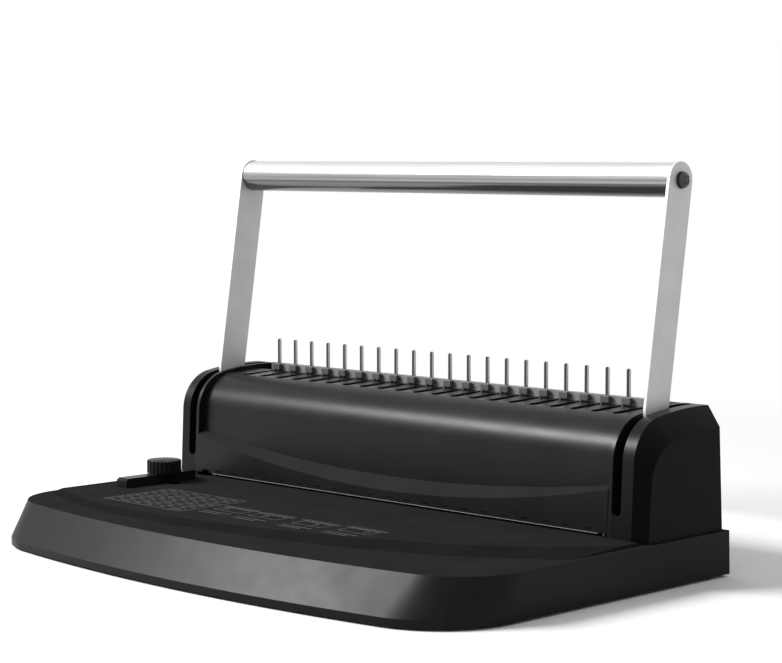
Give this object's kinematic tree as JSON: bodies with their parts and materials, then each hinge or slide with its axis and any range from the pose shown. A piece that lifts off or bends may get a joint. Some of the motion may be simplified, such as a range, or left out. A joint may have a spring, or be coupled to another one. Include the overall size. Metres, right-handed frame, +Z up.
{
  "type": "comb binding machine",
  "caption": "Desk machine that punches a sheet's edge with a lever and opens plastic combs on a row of fingers, on a broad bowed base.",
  "frame": {"origin": "on the table, under the middle of the machine's bounding box", "axes": "+X along the row of fingers to the machine's right, +Y to the rear, +Z up"},
  "size_m": [0.36, 0.2272, 0.2144],
  "materials": {
    "moulded_black": "satin moulded",
    "sheet_black": "plain matt",
    "rubber": "matt",
    "screw_steel": "zinc plated",
    "frame_steel": "plated sheet",
    "tool_steel": "ground",
    "bushing_bronze": "sintered",
    "finger_paint": "satin grey",
    "arm_paint": "satin silver",
    "hub_steel": "satin grey",
    "grip_aluminium": "polished",
    "dark_steel": "dark oxide",
    "hook_black": "black oxide",
    "guide_black": "satin moulded",
    "drawer_black": "fine grain"
  },
  "bodies": {
    "frame": {"base_tray": "moulded_black", "bottom_plate": "sheet_black", "rubber_feet": "rubber", "bottom_screws": "screw_steel", "front_cover": "moulded_black", "rear_cover": "moulded_black", "cover_screws": "screw_steel", "left_end_cap": "moulded_black", "right_end_cap": "moulded_black", "left_side_frame": "frame_steel", "right_side_frame": "frame_steel", "frame_screws": "screw_steel", "die_plate": "tool_steel", "punch_guide": "tool_steel", "plate_spacers": "frame_steel", "paper_stop": "frame_steel", "throat_lip": "frame_steel", "left_bushing": "bushing_bronze", "right_bushing": "bushing_bronze", "rocker_pins": "screw_steel", "finger_plate": "finger_paint", "comb_fingers": "finger_paint", "finger_plate_screws": "screw_steel"},
    "drive": {"main_shaft": "tool_steel", "left_pinion": "tool_steel", "right_pinion": "tool_steel", "drive_pins": "screw_steel", "shaft_clips": "screw_steel"},
    "punch": {"punch_bar": "frame_steel", "left_rack": "tool_steel", "right_rack": "tool_steel", "punches": "tool_steel"},
    "handle": {"left_arm": "arm_paint", "right_arm": "arm_paint", "left_hub": "hub_steel", "right_hub": "hub_steel", "grip_tube": "grip_aluminium", "grip_plugs": "sheet_black", "grip_screws": "dark_steel", "grip_washers": "dark_steel"},
    "left_tilt": {"left_rocker": "frame_steel"},
    "right_tilt": {"right_rocker": "frame_steel"},
    "hooks": {"hook_plate": "frame_steel", "comb_hooks": "hook_black"},
    "guide": {"edge_guide": "guide_black", "guide_nut": "screw_steel"},
    "knob": {"guide_knob": "guide_black"},
    "drawer": {"chip_drawer": "drawer_black"}
  },
  "joints": [
    {"name": "drive_turn", "type": "hinge", "parent": "frame", "child": "drive", "pos_m": [0, 0.0686, 0.04], "axis": [1, 0, 0], "range_deg": [0, 80]},
    {"name": "handle_back", "type": "hinge", "parent": "drive", "child": "handle", "pos_m": [0, 0.0686, 0.04], "axis": [1, 0, 0], "range_deg": [-18, 0], "stiffness_Nm_per_rad": 0.25, "springref_deg": 34.38},
    {"name": "punch_travel", "type": "slide", "parent": "frame", "child": "punch", "axis": [0, 0, -1], "range_m": [0, 0.0112]},
    {"name": "left_rocker_turn", "type": "hinge", "parent": "frame", "child": "left_tilt", "pos_m": [-0.1521, 0.07405, 0.0561], "axis": [1, 0, 0], "range_deg": [0, 33.3]},
    {"name": "right_rocker_turn", "type": "hinge", "parent": "frame", "child": "right_tilt", "pos_m": [0.1521, 0.07405, 0.0561], "axis": [1, 0, 0], "range_deg": [0, 33.3]},
    {"name": "hook_travel", "type": "slide", "parent": "frame", "child": "hooks", "axis": [0, -1, 0], "range_m": [0, 0.0123]},
    {"name": "guide_slide", "type": "slide", "parent": "frame", "child": "guide", "axis": [1, 0, 0], "range_m": [-0.01, 0.01]},
    {"name": "knob_turn", "type": "hinge", "parent": "guide", "child": "knob", "pos_m": [-0.1517, 0.009, 0.035], "axis": [0, 0, 1], "range_deg": [-180, 180]},
    {"name": "drawer_slide", "type": "slide", "parent": "frame", "child": "drawer", "axis": [-1, 0, 0], "range_m": [0, 0.2]}
  ],
  "couplings": [
    {"joint": "punch_travel", "follows": "drive_turn", "m_per_rad": 0.008},
    {"joint": "left_rocker_turn", "follows": "handle_back", "ratio": -1.848},
    {"joint": "right_rocker_turn", "follows": "handle_back", "ratio": -1.848},
    {"joint": "hook_travel", "follows": "handle_back", "m_per_rad": -0.03905}
  ]
}
